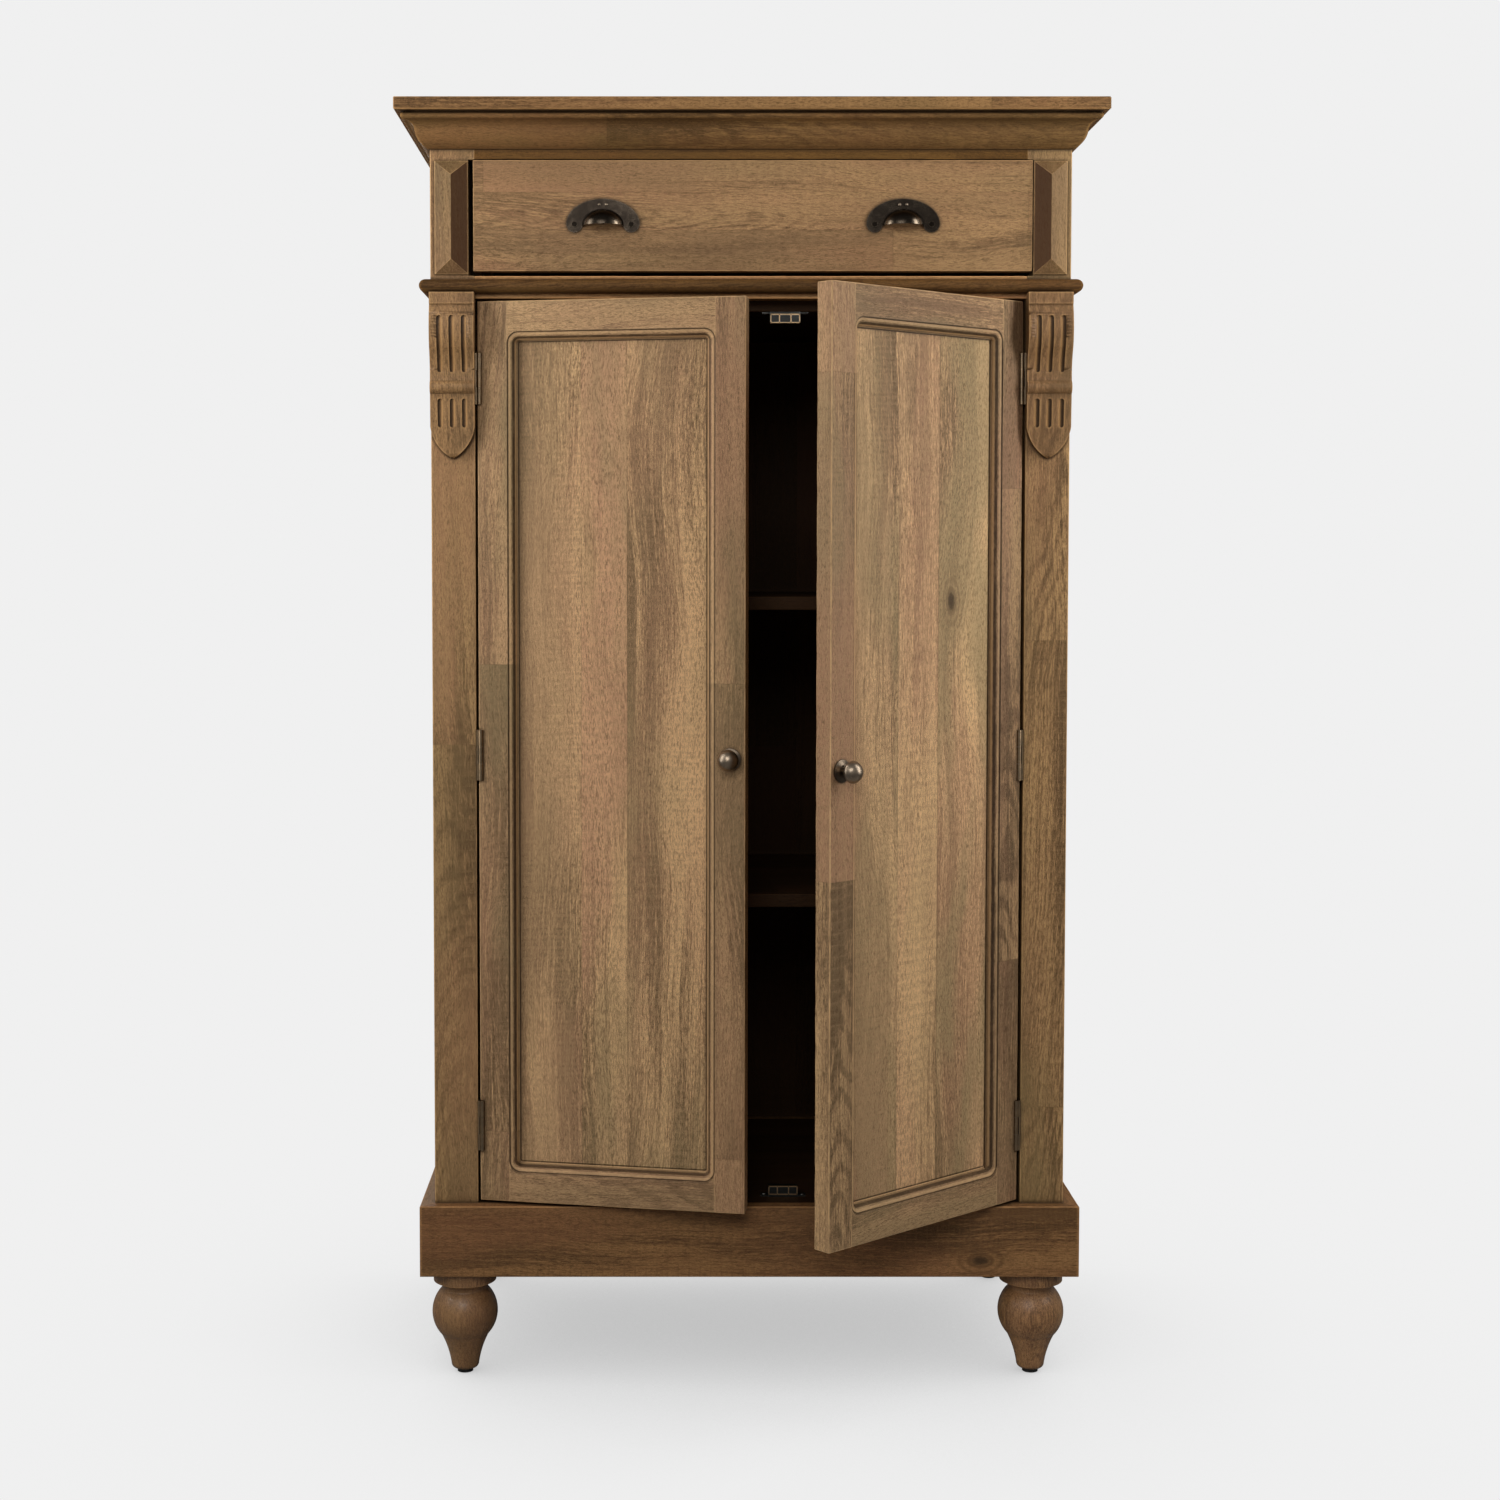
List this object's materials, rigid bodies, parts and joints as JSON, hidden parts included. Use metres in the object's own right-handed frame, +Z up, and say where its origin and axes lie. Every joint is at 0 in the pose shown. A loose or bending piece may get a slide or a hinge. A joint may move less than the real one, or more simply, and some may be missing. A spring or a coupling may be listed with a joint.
{
  "type": "cabinet",
  "caption": "Tall two-door cabinet with a drawer over the doors, shelves, a moulded cornice, carved corbels, a plinth and turned feet.",
  "frame": {"origin": "on the floor, under the middle of the carcase (the posts) in width and depth", "axes": "+Z up, the doors and the drawer face -Y, +X to the right as seen from the front"},
  "size_m": [0.914, 0.7182, 1.676],
  "materials": {
    "case_wood": "solid mango wood, warm grey-brown stain, waxed satin",
    "panel_wood": "edge-glued mango boards, the same stain, waxed satin",
    "inner_wood": "mango boards, brown stain, matte",
    "aged_metal": "cast, dark bronze patina, worn on the edges",
    "hinge_steel": "antique plated steel, slightly worn",
    "catch_steel": "zinc plated steel",
    "black_plastic": "matte moulded glide"
  },
  "bodies": {
    "cabinet": {"top_board": "case_wood", "cornice_front": "case_wood", "cornice_left": "case_wood", "cornice_right": "case_wood", "frieze_rail": "case_wood", "post_front_left": "case_wood", "post_front_right": "case_wood", "post_rear_left": "case_wood", "post_rear_right": "case_wood", "side_rails_left": "case_wood", "side_rails_right": "case_wood", "post_blocks": "case_wood", "corbel_left": "case_wood", "corbel_right": "case_wood", "waist_moulding_front": "case_wood", "waist_moulding_left": "case_wood", "waist_moulding_right": "case_wood", "header_rail": "case_wood", "plinth_front": "case_wood", "plinth_sides": "case_wood", "plinth_back": "case_wood", "foot_front_left": "case_wood", "foot_front_right": "case_wood", "foot_rear_left": "case_wood", "foot_rear_right": "case_wood", "side_panels_left": "panel_wood", "side_panels_right": "panel_wood", "divider_board": "inner_wood", "drawer_guides": "inner_wood", "cabinet_floor": "inner_wood", "shelves": "inner_wood", "shelf_cleats": "inner_wood", "back_panel": "inner_wood", "foot_glides": "black_plastic", "post_hinge_leaves": "hinge_steel", "magnetic_catches": "catch_steel"},
    "door_left": {"door_left_hinge_stile": "case_wood", "door_left_lock_stile": "case_wood", "door_left_top_rail": "case_wood", "door_left_bottom_rail": "case_wood", "door_left_panel": "panel_wood", "door_left_knob": "aged_metal", "door_left_hinge_leaves": "hinge_steel", "door_left_strikes": "catch_steel"},
    "door_right": {"door_right_hinge_stile": "case_wood", "door_right_lock_stile": "case_wood", "door_right_top_rail": "case_wood", "door_right_bottom_rail": "case_wood", "door_right_panel": "panel_wood", "door_right_knob": "aged_metal", "door_right_hinge_leaves": "hinge_steel", "door_right_strikes": "catch_steel"},
    "drawer": {"drawer_front": "case_wood", "drawer_side_left": "inner_wood", "drawer_side_right": "inner_wood", "drawer_back": "inner_wood", "drawer_bottom": "inner_wood", "cup_pull_left": "aged_metal", "cup_pull_right": "aged_metal", "pull_screws": "hinge_steel"}
  },
  "joints": [
    {"name": "drawer_slide", "type": "slide", "parent": "cabinet", "child": "drawer", "axis": [0, -1, 0], "range_m": [0, 0.3]},
    {"name": "left_door_hinge", "type": "hinge", "parent": "cabinet", "child": "door_left", "pos_m": [-0.352, -0.2335, 0.83175], "axis": [0, 0, -1], "range_deg": [-10.8, 84.2]},
    {"name": "right_door_hinge", "type": "hinge", "parent": "cabinet", "child": "door_right", "pos_m": [0.352, -0.2335, 0.83175], "axis": [0, 0, 1], "range_deg": [-41.3, 53.7]}
  ]
}
